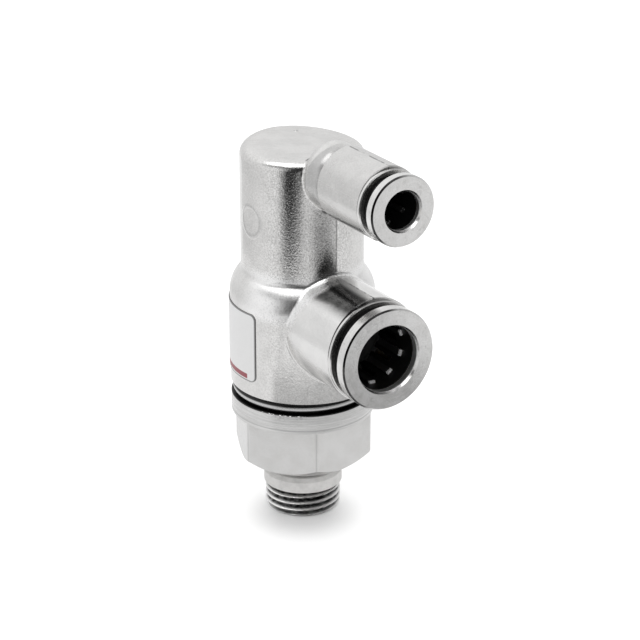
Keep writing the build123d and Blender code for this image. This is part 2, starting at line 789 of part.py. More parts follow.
# Label wrapped round the skirt, with rounded corners
label_arc = label_width / body_radius * 180 / pi
label_turn = label_angle - label_arc / 2
label_edge = Vector(cos(radians(label_turn)), sin(radians(label_turn)), 0)
label_axis = Axis((0, draft_shift, 0), (0, 0, 1))
label_plane = Plane(origin=(0, draft_shift, 0), x_dir=label_edge, z_dir=label_edge.cross(Vector(0, 0, 1)))
label_base_z = body_z + label_rise
with BuildPart() as body_label:
    with BuildSketch(label_plane):
        with BuildLine():
            Polyline(*ring_outline(
                body_radius + press_gap, body_radius + press_gap + label_thickness,
                label_base_z, label_base_z + label_height,
            ), close=True)
        make_face()
    revolve(axis=label_axis, revolution_arc=label_arc)
    corners = body_label.edges().filter_by(lambda edge: edge.length < 2 * label_thickness)
    fillet(corners, label_corner_radius)
save(body_label, "body_label")
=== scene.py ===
import bpy
import bmesh
import json
import math
import numpy as np
from mathutils import Matrix, Vector


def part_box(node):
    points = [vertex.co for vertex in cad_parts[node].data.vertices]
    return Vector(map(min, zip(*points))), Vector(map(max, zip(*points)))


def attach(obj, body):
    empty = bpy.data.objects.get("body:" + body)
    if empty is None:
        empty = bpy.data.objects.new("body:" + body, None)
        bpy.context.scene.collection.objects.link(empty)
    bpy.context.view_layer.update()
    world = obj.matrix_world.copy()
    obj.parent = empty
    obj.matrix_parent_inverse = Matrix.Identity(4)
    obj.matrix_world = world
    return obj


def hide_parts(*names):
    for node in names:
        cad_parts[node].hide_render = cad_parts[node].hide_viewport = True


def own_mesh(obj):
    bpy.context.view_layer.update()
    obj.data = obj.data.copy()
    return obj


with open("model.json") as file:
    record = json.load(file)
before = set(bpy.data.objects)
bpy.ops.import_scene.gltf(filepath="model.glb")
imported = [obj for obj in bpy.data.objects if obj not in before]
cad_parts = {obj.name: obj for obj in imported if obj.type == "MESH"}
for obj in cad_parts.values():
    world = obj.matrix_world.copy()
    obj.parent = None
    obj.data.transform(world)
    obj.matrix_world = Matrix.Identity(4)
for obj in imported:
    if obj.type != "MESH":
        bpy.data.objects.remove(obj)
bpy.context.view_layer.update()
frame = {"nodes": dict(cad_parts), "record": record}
print("packed frame loaded:", len(frame["nodes"]), "nodes")

mm = 0.001
frontAxisY = 0.4  # millimetres by which the body's front half is struck off the parting plane


def grey(level, warm=0.0):
    return (level, level * (1 - 0.4 * warm), level * (1 - warm), 1.0)


class Wire:  # one output socket; arithmetic on it adds Math nodes
    def __init__(self, board, socket):
        self.board = board
        self.socket = socket

    def __add__(self, other):
        return self.board.math("ADD", self, other)

    def __radd__(self, other):
        return self.board.math("ADD", other, self)

    def __sub__(self, other):
        return self.board.math("SUBTRACT", self, other)

    def __rsub__(self, other):
        return self.board.math("SUBTRACT", other, self)

    def __mul__(self, other):
        return self.board.math("MULTIPLY", self, other)

    def __rmul__(self, other):
        return self.board.math("MULTIPLY", other, self)

    def __truediv__(self, other):
        return self.board.math("DIVIDE", self, other)

    def __rtruediv__(self, other):
        return self.board.math("DIVIDE", other, self)

    def __abs__(self):
        return self.board.math("ABSOLUTE", self)


class Board:  # the node tree of one finish
    def __init__(self, name):
        self.material = bpy.data.materials.new(name)
        self.material.use_nodes = True
        self.tree = self.material.node_tree
        self.tree.nodes.clear()

    # a node of any type: its settings first, then the values or links of its sockets
    def node(self, kind, settings=None, sockets=None, out=0):
        made = self.tree.nodes.new(kind)
        for key, value in (settings or {}).items():
            if key == "stops":
                while len(made.color_ramp.elements) < len(value):
                    made.color_ramp.elements.new(1.0)
                for stop, (place, colour) in zip(made.color_ramp.elements, value):
                    stop.position = place
                    stop.color = colour
            else:
                setattr(made, key, value)
        for key, value in (sockets or {}).items():
            target = made.inputs[key]
            if isinstance(value, Wire):
                self.tree.links.new(value.socket, target)
            else:
                target.default_value = value
        return Wire(self, made.outputs[out]) if made.outputs else None

    def math(self, operation, a, b=0.0):
        return self.node("ShaderNodeMath", {"operation": operation}, {0: a, 1: b})

    def most(self, a, b):
        return self.math("MAXIMUM", a, b)

    # length of the side across two sides at right angles
    def length(self, a, b):
        return self.math("SQRT", a * a + b * b)

    # degrees round the upright axis, from +X
    def bearing(self, x, y):
        return self.math("ARCTAN2", y, x) * math.degrees(1)

    # x, y and z of the surface point, in millimetres
    def places(self):
        point = self.node("ShaderNodeTexCoord", out="Object")
        scaled = self.node("ShaderNodeVectorMath", {"operation": "SCALE"}, {0: point, "Scale": 1 / mm})
        parts = self.node("ShaderNodeSeparateXYZ", sockets={0: scaled})
        outs = parts.socket.node.outputs
        return [Wire(self, outs[axis]) for axis in ("X", "Y", "Z")]

    def vector(self, x, y, z):
        return self.node("ShaderNodeCombineXYZ", sockets={0: x, 1: y, 2: z})

    def noise(self, vector, scale=1.0, detail=2.0, rough=0.5):
        return self.node("ShaderNodeTexNoise", {"noise_dimensions": "3D"},
                         {"Vector": vector, "Scale": scale, "Detail": detail, "Roughness": rough})

    # start below low, stop above high, with soft ends
    def ease(self, value, low, high, start=0.0, stop=1.0):
        return self.node("ShaderNodeMapRange", {"interpolation_type": "SMOOTHSTEP", "clamp": True},
                         {"Value": value, 1: low, 2: high, 3: start, 4: stop})

    # 1 below low, 0 above high
    def fade(self, value, low, high):
        return self.ease(value, low, high, 1.0, 0.0)

    # 1 between two soft edges, each a pair of its low and high end
    def band(self, value, rise, fall):
        return self.ease(value, *rise) * self.fade(value, *fall)

    def blendColours(self, share, first, second):
        return self.node("ShaderNodeMix", {"data_type": "RGBA"}, {0: share, 6: first, 7: second}, out=2)

    # a grey laid over a colour where mask is 1, covering it by share: real stains and wear, and painted
    # shade and highlights alike
    def layGrey(self, colour, mask, share, level):
        return self.blendColours(mask * share, colour, grey(level))

    def bump(self, height, depth, under=None):
        sockets = {"Strength": 1.0, "Distance": depth * mm, "Height": height}
        if under is not None:
            sockets["Normal"] = under
        return self.node("ShaderNodeBump", sockets=sockets)

    def finish(self, sockets):
        surface = self.node("ShaderNodeBsdfPrincipled", sockets=sockets)
        self.node("ShaderNodeOutputMaterial", sockets={"Surface": surface})
        return self.material


# round raised mark on the tower's side
forgeMark = {
    "bearing": -87.0,
    "height": 40.5,
    "ring": 1.9,
    "width": 0.22,                  # half width of the ridge
    "rise": 0.07,
    "inner": 1.15,
    "outer": 2.65,
    "tower": 8.05,
    "sink": 0.004,                  # how far its rims lie under the tower's wall
    "sinkWidth": 0.2,
    "across": 40,
    "around": 120,
    "footHalf": (0.10, 0.42),       # darker foot of the ridge, painted
    "footSide": (-6.0, -5.0),
    "footDarkening": (0.32, 0.30),
}


# a pair is where something begins and is whole, in millimetres or degrees; a stain, or a painted shade
# or highlight, is its share and its grey; four numbers are low, high and the values at both
forging = {
    "plate": 0.75,                  # nickel, as a share of the light that falls on it
    "layGrey": 0.68,
    "warmth": 0.02,
    "patchScale": 0.35,             # clouds per millimetre
    "patchTone": (0.35, 0.65),
    "patchRoughness": 0.05,
    "roughness": 0.085,             # under the blasted grain
    "smoothRoughness": 0.22,
    "barrelRadius": (9.7, 10.6),    # radii from the upright axis
    "pilotRadius": (8.2, 8.6),
    "pilotHeight": (42.0, 42.6),
    "crownHeight": (48.6, 49.0),
    "crownRoughness": 0.18,
    "rimRadius": (6.6, 7.2),
    "rimHeight": (47.8, 48.3),
    "rimRoughness": 0.10,
    "shoulderFoot": (28.0, 29.5),
    "shoulderTop": (33.6, 35.0),
    "shoulderRoughness": 0.30,
    "shoulderHighlight": (-95.0, -70.0, 0.1, 0.7),
    "barrelTopFoot": (29.5, 31.5),
    "barrelTopEnd": (36.0, 38.0),
    "barrelTopRoughness": 0.11,
    "pilotDarker": (0.10, 0.30),
    "mainTop": (38.0, 39.0),
    "mainLighter": (0.30, 1.0),
    "darkBandStart": (-4.8, -3.4),      # painted dark reflection: a band along the large barrel's top, from left to right
    "darkBandEnd": (-1.3, -0.5),
    "darkBandPatch": (0.3, 0.6, 0.65, 0.92),
    "darkBandTone": 0.11,
    "rootStart": (10.6, 11.4),      # painted shade on the large barrel's under side
    "rootEnd": (11.8, 15.5),
    "rootFoot": (19.0, 20.0),
    "rootTop": (21.8, 27.0),
    "rootPaintedShade": (0.85, 0.18),
    "seamHalf": (0.05, 0.17),
    "seamScale": 0.9,
    "seamBreaks": (0.42, 0.55),
    "seamBarrel": (10.6, 10.9),
    "seamFoot": (33.5, 35.0),
    "seamTop": (44.0, 46.0),
    "seamTower": (8.7, 8.9),
    "seamTowerShare": 0.7,
    "seamStain": (0.8, 0.10),
    "neckCurve": (8.9, 10.7),       # where the pilot boss curves in towards its barrel
    "neckEdge": (10.32, 10.35),
    "neckDepth": 0.30,
    "neckSide": (-2.2, 1.4),
    "neckPaintedShade": (0.9, 0.06),
    "bossStart": (6.8, 7.4),
    "bossRadius": (8.3, 8.5),
    "bossPaintedShade": (0.45, 0.35),
    "slit": ((6.35, -3.4), (4.9, -0.3)),    # painted shadow: a short dark line on the crown beside the boss
    "slitHalf": (0.07, 0.21),
    "slitWaver": 0.25,
    "slitFade": (0.5, 1.2),
    "slitHeight": (48.2, 48.6),
    "slitShadow": (0.92, 0.03),
    "nub": (-4.3, 1.8),
    "nubRadius": 0.36,
    "nubHeight": 0.40,
    "skinSize": 1.1,
    "skinDepth": 0.010,
    "grainSize": 0.24,              # millimetres across one grain
    "grainDepth": 0.023,
    "grainBearing": -25.0,          # the grain is deepest here, and shallower on the far sides
    "grainSpread": (28.0, 50.0, 1.0, 0.40),
    "grainWorn": 0.75,              # how much of it is gone from the barrels and the crown
    "grainHeight": (30.0, 34.5),    # and from the skirt, up to here
    "skirtGrain": 0.38,
    "skirtSpecks": 0.65,
    "speckSize": 0.21,
    "pits": (0.34, 0.54, 0.33, 0.0),
    "pitTone": 0.12,
    "glints": (0.56, 0.68, 0.0, 0.60),
    "glintTone": 0.95,
}


def platedForging():
    board = Board("platedForging")
    x, y, z = board.places()
    place = board.vector(x, y, z)
    radius = board.length(x, y)
    turned = board.bearing(x, y)
    patch = board.noise(place, forging["patchScale"], 4.0, 0.65)
    waver = patch - 0.5
    # blasted skin on the tower and skirt, smoother on the two barrels and on the crown
    onBarrel = board.ease(radius, *forging["barrelRadius"])
    onPilot = board.ease(z, *forging["pilotHeight"]) * board.ease(radius, *forging["pilotRadius"])
    crown = board.ease(z, *forging["crownHeight"])
    plain = board.most(board.most(onBarrel, onPilot), crown)
    shoulder = board.band(z, forging["shoulderFoot"], forging["shoulderTop"]) * (1 - onBarrel)
    rim = board.ease(z, *forging["rimHeight"]) * board.ease(radius, *forging["rimRadius"])
    barrelTop = onBarrel * board.band(z, forging["barrelTopFoot"], forging["barrelTopEnd"])
    blasted, smooth = forging["roughness"], forging["smoothRoughness"]
    roughness = blasted + plain * (smooth - blasted)
    roughness = roughness + shoulder * (forging["shoulderRoughness"] - blasted)
    roughness = roughness + crown * (forging["crownRoughness"] - smooth)
    roughness = roughness + rim * forging["rimRoughness"]
    roughness = roughness + barrelTop * (forging["barrelTopRoughness"] - smooth)
    roughness = roughness + waver * forging["patchRoughness"]
    stained, clean = (grey(forging[key], forging["warmth"]) for key in ("layGrey", "plate"))
    colour = board.blendColours(board.ease(patch, *forging["patchTone"]), stained, clean)
    # painted highlight: the shoulder is lightened towards white, more on its side towards bearing -70
    colour = board.layGrey(colour, shoulder, board.ease(turned, *forging["shoulderHighlight"]), 1.0)
    # the large barrel is a little brighter than the small one, with a painted dark reflection band along
    # its top
    colour = board.layGrey(colour, onPilot, *forging["pilotDarker"])
    colour = board.layGrey(colour, onBarrel * board.fade(z, *forging["mainTop"]), *forging["mainLighter"])
    darkened = barrelTop * board.band(y, forging["darkBandStart"], forging["darkBandEnd"])
    colour = board.layGrey(colour, darkened, board.ease(patch, *forging["darkBandPatch"]), forging["darkBandTone"])
    # painted shade on its under side, out from the root
    rootShade = board.ease(radius, *forging["rootStart"]) * board.fade(radius + waver, *forging["rootEnd"])
    rootShade = rootShade * board.band(z, forging["rootFoot"], forging["rootTop"])
    colour = board.layGrey(colour, rootShade, *forging["rootPaintedShade"])
    # parting line left by the dies: a thin broken seam on the tower's foot and along both barrels
    broken = board.ease(board.noise(place, forging["seamScale"], 3.0, 0.7), *forging["seamBreaks"])
    onTower = board.band(z, forging["seamFoot"], forging["seamTop"])
    onTower = onTower * board.fade(radius, *forging["seamTower"])
    seam = broken * board.ease(radius, *forging["seamBarrel"]) + onTower * forging["seamTowerShare"]
    seam = board.fade(abs(y), *forging["seamHalf"]) * seam
    colour = board.layGrey(colour, seam, *forging["seamStain"])
    # painted shade in the neck between the pilot boss and its barrel, and in the boss's corner
    onBoss = board.ease(z, *forging["pilotHeight"]) * board.fade(x, *forging["neckEdge"])
    neck = board.ease(x, *forging["neckCurve"]) * onBoss
    lower = board.fade(y, *forging["neckSide"])
    colour = board.layGrey(colour, neck * lower, *forging["neckPaintedShade"])
    corner = onBoss * lower * board.ease(x, *forging["bossStart"])
    corner = corner * board.ease(radius, *forging["bossRadius"])
    colour = board.layGrey(colour, corner, *forging["bossPaintedShade"])
    # painted shadow along the boss's side on the crown
    (startX, startY), (endX, endY) = forging["slit"]
    length = math.hypot(endX - startX, endY - startY)
    alongX, alongY = (endX - startX) / length, (endY - startY) / length
    along = (x - startX) * alongX + (y - startY) * alongY
    aside = abs((x - startX) * alongY - (y - startY) * alongX) + waver * forging["slitWaver"]
    fadeIn, fadeOut = forging["slitFade"]
    slit = board.fade(aside, *forging["slitHalf"]) * board.ease(z, *forging["slitHeight"])
    slit = slit * board.band(along, (0.0, fadeIn), (length - fadeOut, length))
    colour = board.layGrey(colour, slit, *forging["slitShadow"])
    # the round mark is darker along its foot
    facing = math.radians(forgeMark["bearing"])
    side = x * -math.sin(facing) + (y - frontAxisY) * math.cos(facing)
    fromRing = abs(board.length(side, z - forgeMark["height"]) - forgeMark["ring"])
    foot = board.fade(fromRing, *forgeMark["footHalf"]) * board.fade(y, *forgeMark["footSide"])
    colour = board.layGrey(colour, foot, *forgeMark["footDarkening"])
    # grain, with dark pits of painted shade and painted bright glints in its colour
    grainShare = board.ease(abs(turned - forging["grainBearing"]), *forging["grainSpread"])
    grainShare = (1 - plain * forging["grainWorn"]) * grainShare
    specks = board.noise(place, 1 / forging["speckSize"], 2.0, 0.7)
    speckShare = grainShare * board.ease(z, *forging["grainHeight"], forging["skirtSpecks"], 1.0)
    pits = board.ease(specks, *forging["pits"]) * speckShare
    colour = board.blendColours(pits, colour, grey(forging["pitTone"]))
    glints = board.ease(specks, *forging["glints"]) * speckShare
    colour = board.blendColours(glints, colour, grey(forging["glintTone"]))
    nubX, nubY = forging["nub"]
    nub = board.fade(board.length(x - nubX, y - nubY), 0.0, forging["nubRadius"]) * crown
    skin = board.noise(place, 1 / forging["skinSize"], 3.0, 0.6)
    grain = board.noise(place, 1 / forging["grainSize"], 3.0, 0.7)
    grain = grain * (grainShare * board.ease(z, *forging["grainHeight"], forging["skirtGrain"], 1.0))
    skinBump = board.bump(skin, forging["skinDepth"])
    neckBump = board.bump(neck * -1.0, forging["neckDepth"], skinBump)
    nubBump = board.bump(nub, forging["nubHeight"], neckBump)
    grainBump = board.bump(grain, forging["grainDepth"], nubBump)
    return board.finish({"Base Color": colour, "Metallic": 1.0, "Roughness": roughness,
                         "Normal": grainBump})


turning = {
    "lineGap": 0.09,        # millimetres between tool marks
    "lineDepth": 0.005,
    "portLineDepth": 0.0018,
    "lineRoughness": 0.10,
    "lineDrift": 0.5,       # how fast the marks change round the stem, and across a port's ring
    "portLineDrift": 0.3,
    "cloudScale": 0.5,
    "cloudRoughness": 0.06,
    "fineScale": 4.5,
    "fineDepth": 0.003,
    "tone": (0.38, 0.62),
    "dulled": 0.09,         # how much darker the dull places are
}


# plain machined nickel: tool marks, soft clouds and a fine tooth, then the wear of its own piece
def turnedNickel(name, lines, skin, wear, lineDepth=turning["lineDepth"]):
    board = Board(name)
    x, y, z = board.places()
    place = board.vector(x, y, z)
    marks = board.noise(lines(board, x, y, z), 1.0, 2.0, 0.6)
    cloud = board.noise(place, turning["cloudScale"], 3.0, 0.6)
    fine = board.noise(place, turning["fineScale"], 2.0, 0.6)
    rough = skin["roughness"] + (marks - 0.5) * turning["lineRoughness"]
    rough = rough + (cloud - 0.5) * turning["cloudRoughness"]
    tone = board.ease(cloud * 0.5 + marks * 0.25 + fine * 0.25, *turning["tone"])
    darkened = skin["plate"] * (1 - turning["dulled"] * skin["contrast"])
    dullWarmth, warmth = skin["warmth"]
    colour = board.blendColours(tone, grey(darkened, dullWarmth), grey(skin["plate"], warmth))
    colour, rough = wear(board, x, y, z, colour, rough)
    markBump = board.bump(marks, lineDepth)
    fineBump = board.bump(fine, turning["fineDepth"], markBump)
    return board.finish({"Base Color": colour, "Metallic": 1.0, "Roughness": rough, "Normal": fineBump})


# marks that run round the upright axis, and straight across the hexagon's flats
def stemLines(board, x, y, z):
    return board.vector(x * turning["lineDrift"], y * turning["lineDrift"], z / turning["lineGap"])


# rings round a port's own axis
def portLines(axisZ):
    def lines(board, x, y, z):
        radius = board.length(y, z - axisZ)
        gap = turning["lineGap"]
        return board.vector(x / gap, radius / gap, y * turning["portLineDrift"])
    return lines


stemSkin = {
    "plate": 0.70,
    "warmth": (0.02, 0.01),         # of the dull places, and of the rest
    "roughness": 0.24,
    "contrast": 1.0,
    "hexTurn": -20.5,               # bearing of one of the hexagon's corners
    "hexReach": 9.0,
    "hexFoot": (7.9, 8.3),
    "hexTop": (13.8, 13.9),
    "hexRadius": (8.9, 9.0),
    "edgeHalf": (0.042, 0.112),     # half width of the line along each corner
    "edgeDarkening": (0.35, 0.34),
    "flangeFoot": (13.9, 14.1),
    "flangeShine": (0.22, 0.95),
    "bandScale": (0.12, 5.0),       # turned bands on the flange: noise across and up
    "bands": (0.35, 0.7, 0.36, 0.0),
    "bandTone": 0.30,
    "grooveHeight": 14.32,
    "grooveHalf": (0.03, 0.10),
    "grooveRadius": (8.0, 8.2),
    "groovePaintedShade": (0.45, 0.25),
    "chipScale": (2.6, 3.0),
    "chips": (0.53, 0.58),
    "chipBearing": -46.0,           # where the flange's upper edge is chipped
    "chipSpread": (10.4, 26.0),
    "rimHeight": (16.27, 16.32),
    "rimChipped": (16.37, 16.39, 0.9, 0.0),
    "rimPaintedReflection": (0.97, 0.02),
    "rimRoughness": 0.2,
    "dentHeight": (15.5, 16.2),
    "dentStain": (0.5, 0.25),
}


# on the stem: corner lines, turned bands on the flange, and its upper edge painted near black as a
# reflection of the black ring, broken by chips
def stemWear(board, x, y, z, colour, rough):
    radius = board.length(x, y)
    turned = board.bearing(x, y)
    # each corner lies in the middle of its sixth of a turn
    sixth = board.math("MODULO", turned - stemSkin["hexTurn"] + 390.0, 60.0)
    fromCorner = abs(sixth - 30.0) * (math.radians(1) * stemSkin["hexReach"])
    edges = board.fade(fromCorner, *stemSkin["edgeHalf"]) * board.ease(radius, *stemSkin["hexRadius"])
    edges = edges * board.band(z, stemSkin["hexFoot"], stemSkin["hexTop"])
    colour = board.layGrey(colour, edges, *stemSkin["edgeDarkening"])
    onFlange = board.ease(z, *stemSkin["flangeFoot"])
    across, up = stemSkin["bandScale"]
    bands = board.noise(board.vector(x * across, y * across, z * up), 1.0, 3.0, 0.7)
    colour = board.layGrey(colour, onFlange, *stemSkin["flangeShine"])
    colour = board.layGrey(colour, onFlange, board.ease(bands, *stemSkin["bands"]), stemSkin["bandTone"])
    # painted shade: a thin dark line round the flange at the groove
    groove = board.fade(abs(z - stemSkin["grooveHeight"]), *stemSkin["grooveHalf"])
    groove = groove * board.ease(radius, *stemSkin["grooveRadius"])
    colour = board.layGrey(colour, groove, *stemSkin["groovePaintedShade"])
    across, up = stemSkin["chipScale"]
    chips = board.noise(board.vector(x * across, y * across, z * up), 1.0, 3.0, 0.7)
    chips = board.ease(chips, *stemSkin["chips"])
    chips = chips * board.fade(abs(turned - stemSkin["chipBearing"]), *stemSkin["chipSpread"])
    # painted reflection: the flange's top is near black where it mirrors the black ring, except at the
    # chips
    rim = board.ease(z, *stemSkin["rimHeight"]) * (1 - chips * board.ease(z, *stemSkin["rimChipped"]))
    colour = board.layGrey(colour, rim, *stemSkin["rimPaintedReflection"])
    dents = chips * board.ease(z, *stemSkin["dentHeight"]) * (1 - rim)
    colour = board.layGrey(colour, dents, *stemSkin["dentStain"])
    return colour, rough + rim * stemSkin["rimRoughness"]


threadSkin = {
    "plate": 0.86,
    "warmth": (0.01, 0.01),
    "roughness": 0.20,
    "contrast": 0.0,                # the crests are one plain grey
    "valley": (4.52, 4.84),         # radius up to which the stain is whole, and where it ends
    "firstTurns": (0.2, 0.9, 0.72, 1.0),
    "leadIn": (0.10, 0.50, 0.45, 0.0),
    "grimeScale": (1.5, 2.5),
    "greaseAndShade": (0.40, 0.62, 0.04, 0.26),
    "grimeRoughness": 0.15,
}


# on the thread: painted shade with a grease-like mottle in the valleys, bright worn crests, and the
# lowest turn darker
def threadWear(board, x, y, z, colour, rough):
    valley = board.fade(board.length(x, y), *threadSkin["valley"])
    valley = valley * board.ease(z, *threadSkin["firstTurns"])
    shade = board.most(valley, board.ease(z, *threadSkin["leadIn"]))
    across, up = threadSkin["grimeScale"]
    greaseAndShade = board.noise(board.vector(x * across, y * across, z * up), 1.0, 4.0, 0.7)
    greaseAndShade = board.ease(greaseAndShade, *threadSkin["greaseAndShade"])
    depth = board.node("ShaderNodeCombineColor", sockets={0: greaseAndShade, 1: greaseAndShade, 2: greaseAndShade})
    return board.blendColours(shade, colour, depth), rough + shade * threadSkin["grimeRoughness"]


# both tube ports, in millimetres: the axis's height, then the release ring's bore, face and outer
# radius; teethGlint is how much of each tooth strip's outer end has a painted glint
ports = {
    "main": {"axisZ": 27.5, "bore": 4.2, "face": 19.8, "outer": 6.4, "plate": 0.79,
             "warmth": (0.02, 0.01), "roughness": 0.20, "contrast": 1.6, "teethGlint": 0.38},
    "pilot": {"axisZ": 47.0, "bore": 2.4, "face": 22.4, "outer": 4.35, "plate": 0.83,
              "warmth": (0.02, 0.01), "roughness": 0.24, "contrast": 1.2, "teethGlint": 0.0},
}
ringSkin = {
    "packedEdge": 0.30,             # the front chamfer in the solids, and as it is seen
    "seenEdge": 0.17,
    "boreEdge": (0.02, 0.06),
    "borePaintedLight": (0.8, 0.95),
    "boreRoughness": 0.25,
    "edge": (-0.22, -0.18),         # measured in from the ring's sharp corner
    "edgeLean": 0.3,
    "edgeSide": (-2.2, -0.4),
    "edgeDarkening": (0.95, 0.03),
    "scuffScale": 1.4,
    "scuffs": (0.56, 0.64),
    "scuffStain": (0.18, 0.35),
}


# on a release ring: the bore is rougher than the face and has painted light, and the front edge has a
# painted dark reflection on one side
def ringWear(port):
    def wear(board, x, y, z, colour, rough):
        drop = z - port["axisZ"]
        radius = board.length(y, drop)
        inside = board.fade(radius, *(port["bore"] + edge for edge in ringSkin["boreEdge"]))
        corner = board.ease(x - port["face"] + radius - port["outer"], *ringSkin["edge"])
        corner = corner * board.fade(y - drop * ringSkin["edgeLean"], *ringSkin["edgeSide"])
        # painted dark reflection on the front edge's left side, and painted light in the bore
        colour = board.layGrey(colour, corner, *ringSkin["edgeDarkening"])
        colour = board.layGrey(colour, inside, *ringSkin["borePaintedLight"])
        across = ringSkin["scuffScale"]
        scuffs = board.noise(board.vector(x, y * across, z * across), 1.0, 4.0, 0.7)
        colour = board.layGrey(colour, board.ease(scuffs, *ringSkin["scuffs"]), *ringSkin["scuffStain"])
        return colour, rough + inside * ringSkin["boreRoughness"]
    return wear


teeth = {"shadedTone": 0.02, "tipGlint": 1.0, "tipFade": 0.12, "tipWaver": 0.3, "metallic": 0.3,
         "roughness": 0.3}


# a port's tooth strips: painted dark as shade, with a painted glint only on their outer ends
def glintTippedSteel(name, node, glintLength):
    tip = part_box(node)[1][0] / mm - glintLength
    board = Board(name)
    x, y, z = board.places()
    fine = board.noise(board.vector(x, y, z), 4.0, 2.0, 0.6)
    tipGlint = board.ease(x + (fine - 0.5) * teeth["tipWaver"], tip, tip + teeth["tipFade"])
    colour = board.blendColours(tipGlint, grey(teeth["shadedTone"]), grey(teeth["tipGlint"]))
    return board.finish({"Base Color": colour, "Metallic": teeth["metallic"],
                         "Roughness": teeth["roughness"] + fine * 0.1, "Normal": board.bump(fine, 0.002)})


plastic = {"cloudScale": 0.7, "cloudTone": (0.3, 0.7), "cloudRoughness": 0.06,
           "fineScale": 7.0, "fineRoughness": 0.05, "fineDepth": 0.002, "spread": 0.1}


def plainPlastic(name, level, roughness, specular=0.5, warmth=0.0):
    board = Board(name)
    x, y, z = board.places()
    place = board.vector(x, y, z)
    cloud = board.noise(place, plastic["cloudScale"], 3.0, 0.6)
    fine = board.noise(place, plastic["fineScale"], 2.0, 0.6)
    darker, lighter = (grey(level * (1 + side * plastic["spread"]), warmth) for side in (-1, 1))
    colour = board.blendColours(board.ease(cloud, *plastic["cloudTone"]), darker, lighter)
    rough = roughness + (fine - 0.5) * plastic["fineRoughness"]
    rough = rough + (cloud - 0.5) * plastic["cloudRoughness"]
    return board.finish({"Base Color": colour, "Roughness": rough, "Specular IOR Level": specular,
                         "Normal": board.bump(fine, plastic["fineDepth"])})


rubber = {
    "tones": (0.003, 0.008),
    "roughness": 0.22,
    "sheenHeight": 17.22,
    "sheenHalf": (0.09, 0.30),
    "sheenRadius": (8.0, 8.2),
    "sheenTone": 0.55,
}


# black rubber; the ring in the swivel gap has a painted highlight along its middle, a light metallic band
def rubberWithPaintedSheen():
    board = Board("sealRubber")
    x, y, z = board.places()
    fine = board.noise(board.vector(x, y, z), 6.0, 2.0, 0.6)
    colour = board.blendColours(fine, *(grey(tone) for tone in rubber["tones"]))
    paintedSheen = board.fade(abs(z - rubber["sheenHeight"]), *rubber["sheenHalf"])
    paintedSheen = paintedSheen * board.ease(board.length(x, y), *rubber["sheenRadius"])
    colour = board.blendColours(paintedSheen, colour, grey(rubber["sheenTone"]))
    return board.finish({"Base Color": colour, "Metallic": paintedSheen, "Specular IOR Level": 0.3,
                         "Roughness": rubber["roughness"] + fine * 0.06,
                         "Normal": board.bump(fine, 0.001)})


drawn = {"cloudScale": 0.8, "cloudTone": (0.3, 0.7), "lineScale": (0.5, 9.0), "lineRoughness": 0.1,
         "lineDepth": 0.003}


# wire and bar as they were drawn, with fine lines across
def drawnMetal(name, colour, dark, roughness):
    board = Board(name)
    x, y, z = board.places()
    across, up = drawn["lineScale"]
    cloud = board.noise(board.vector(x, y, z), drawn["cloudScale"], 3.0, 0.6)
    lines = board.noise(board.vector(x * across, y * across, z * up), 1.0, 2.0, 0.5)
    tone = board.blendColours(board.ease(cloud, *drawn["cloudTone"]), dark, colour)
    return board.finish({"Base Color": tone, "Metallic": 1.0,
                         "Roughness": roughness + (lines - 0.5) * drawn["lineRoughness"],
                         "Normal": board.bump(lines, drawn["lineDepth"])})


label = {
    "radius": 9.6,
    "middleBearing": -113.7,
    "arc": 84.4,
    "baseZ": 20.0,
    "topZ": 29.1,
    "corner": 0.8,
    "edgeLine": (0.10, 0.18),
    "edgeDarkening": (0.8, 0.10),
    "stripeFoot": (20.25, 20.31),
    "stripeTop": (20.89, 20.95),
    "stripeInset": (0.7, 0.6),
    "stripe": (0.33, 0.075, 0.09, 1.0),
    "paper": 0.86,
    "fibreTone": 0.96,
    "roughness": 0.32,
}


def printedLabel():
    board = Board("printedLabel")
    x, y, z = board.places()
    middle = math.radians(label["middleBearing"])
    offset = y - frontAxisY
    turnedX = x * math.cos(middle) + offset * math.sin(middle)
    turnedY = offset * math.cos(middle) - x * math.sin(middle)
    around = abs(board.math("ARCTAN2", turnedY, turnedX) * label["radius"])
    # how far inside the rounded outline a point lies
    halfArc = math.radians(label["arc"] / 2) * label["radius"] - label["corner"]
    halfTall = (label["topZ"] - label["baseZ"]) / 2 - label["corner"]
    overArc = board.most(around - halfArc, 0.0)
    overTall = board.most(abs(z - (label["topZ"] + label["baseZ"]) / 2) - halfTall, 0.0)
    inside = label["corner"] - board.length(overArc, overTall)
    stripe = board.band(z, label["stripeFoot"], label["stripeTop"])
    stripe = stripe * board.fade(around, *(halfArc - inset for inset in label["stripeInset"]))
    fibre = board.noise(board.vector(x, y, z), 3.0, 3.0, 0.6)
    paper = board.blendColours(fibre, grey(label["paper"] * label["fibreTone"]), grey(label["paper"]))
    colour = board.blendColours(stripe, paper, label["stripe"])
    colour = board.layGrey(colour, board.fade(inside, *label["edgeLine"]), *label["edgeDarkening"])
    return board.finish({"Base Color": colour, "Roughness": label["roughness"] + fibre * 0.1,
                         "Normal": board.bump(fibre, 0.003)})


